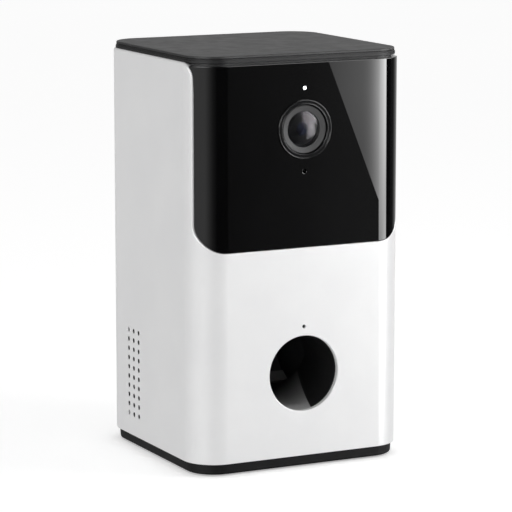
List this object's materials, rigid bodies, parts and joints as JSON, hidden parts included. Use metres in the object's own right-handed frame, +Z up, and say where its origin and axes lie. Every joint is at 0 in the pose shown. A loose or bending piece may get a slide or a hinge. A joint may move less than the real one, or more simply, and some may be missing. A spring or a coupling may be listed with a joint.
{
  "type": "treat tossing pet camera",
  "caption": "Upright rounded-square tower with a wrap-around black camera window, a lift-off lid over a treat bin, and a round outlet low in the front that a turning paddle throws treats from.",
  "frame": {"origin": "on the floor under the middle of the body", "axes": "+Z up, the front with the camera and the outlet faces -Y, +X to the right seen from the front"},
  "size_m": [0.133, 0.1271, 0.2358],
  "materials": {
    "white_shell": "satin moulded white plastic with a fine sheen",
    "dark_base": "matt dark grey plastic",
    "foot_rubber": "matt black rubber",
    "gloss_window": "polished black plastic",
    "black_inner_plastic": "matt black plastic",
    "lens_bezel_plastic": "satin black plastic",
    "grey_lens_ring": "satin grey plastic",
    "lens_glass": "clear coated glass",
    "coated_glass": "glass with a blue and violet coating",
    "circuit_board": "green solder mask",
    "lamp_resin": "dark clear resin",
    "light_pipe": "clear light pipe, lit white",
    "lid_plastic": "satin dark grey plastic with a fine grain",
    "lid_liner_plastic": "matt grey plastic",
    "seal_rubber": "grey silicone rubber",
    "bin_plastic": "matt off-white plastic",
    "wheel_plastic": "satin orange plastic",
    "steel": "bright steel",
    "brass": "turned brass",
    "gear_plastic": "natural acetal",
    "motor_steel": "plated steel",
    "chamber_plastic": "satin dark grey plastic",
    "black_chute": "satin black plastic",
    "paddle_plastic": "satin orange plastic",
    "speaker_paper": "black paper cone",
    "chip_resin": "black resin",
    "button_plastic": "matt grey plastic",
    "aerial_film": "brown film",
    "ribbon_film": "white film"
  },
  "bodies": {
    "housing": {"outer_shell": "white_shell", "base_plate": "dark_base", "rubber_feet": "foot_rubber", "base_screws": "steel", "front_window": "gloss_window", "window_frame": "black_inner_plastic", "lens_bezel": "lens_bezel_plastic", "lens_ring": "grey_lens_ring", "lens_glass": "lens_glass", "lens_barrel": "black_inner_plastic", "rear_lens": "coated_glass", "lens_holder": "black_inner_plastic", "image_sensor": "circuit_board", "camera_board": "circuit_board", "infrared_lamps": "lamp_resin", "status_light": "light_pipe", "camera_microphone": "foot_rubber", "camera_screws": "steel", "outlet_sensor": "black_inner_plastic", "treat_bin": "bin_plastic", "bin_screws": "steel", "port_guard": "bin_plastic", "metering_bush": "brass", "idler_pin": "steel", "metering_motor": "motor_steel", "motor_bracket": "black_inner_plastic", "chamber_left": "chamber_plastic", "chamber_right": "chamber_plastic", "chamber_screws": "steel", "treat_chute": "black_chute", "paddle_bearing": "brass", "launch_motor": "motor_steel", "speaker_gasket": "foot_rubber", "speaker_frame": "black_inner_plastic", "speaker_cone": "speaker_paper", "speaker_magnet": "motor_steel", "speaker_screws": "steel", "main_board": "circuit_board", "board_chips": "chip_resin", "shield_can": "steel", "board_screws": "steel", "power_inlet": "steel", "reset_switch": "chip_resin", "radio_aerial": "aerial_film", "camera_ribbon": "ribbon_film"},
    "lid": {"lid_cover": "lid_plastic", "lid_liner": "lid_liner_plastic", "lid_seal": "seal_rubber"},
    "metering": {"metering_wheel": "wheel_plastic", "metering_shaft": "steel", "wheel_gear": "gear_plastic"},
    "idler": {"idler_gear": "gear_plastic"},
    "pinion": {"motor_pinion": "brass"},
    "paddle": {"launch_paddle": "paddle_plastic", "paddle_tips": "seal_rubber", "paddle_shaft": "steel"},
    "reset": {"reset_button": "button_plastic"}
  },
  "joints": [
    {"name": "lid_lift", "type": "slide", "parent": "housing", "child": "lid", "axis": [0, 0, 1], "range_m": [0, 0.06]},
    {"name": "metering_turn", "type": "hinge", "parent": "housing", "child": "metering", "pos_m": [0, 0.002, 0.1108], "axis": [0, 0, 1], "continuous": true},
    {"name": "idler_turn", "type": "hinge", "parent": "housing", "child": "idler", "pos_m": [-0.02085, 0.002, 0.1003], "axis": [0, 0, 1], "continuous": true},
    {"name": "pinion_turn", "type": "hinge", "parent": "housing", "child": "pinion", "pos_m": [-0.0353, 0.002, 0.1003], "axis": [0, 0, 1], "continuous": true},
    {"name": "paddle_turn", "type": "hinge", "parent": "housing", "child": "paddle", "pos_m": [0, 0.008, 0.0632], "axis": [1, 0, 0], "continuous": true},
    {"name": "reset_press", "type": "slide", "parent": "housing", "child": "reset", "axis": [0, -1, 0], "range_m": [0, 0.0008], "stiffness_N_per_m": 400, "springref_m": -0.0004}
  ],
  "couplings": [
    {"joint": "idler_turn", "follows": "metering_turn", "ratio": -1.1667},
    {"joint": "pinion_turn", "follows": "metering_turn", "ratio": 2.3333}
  ]
}
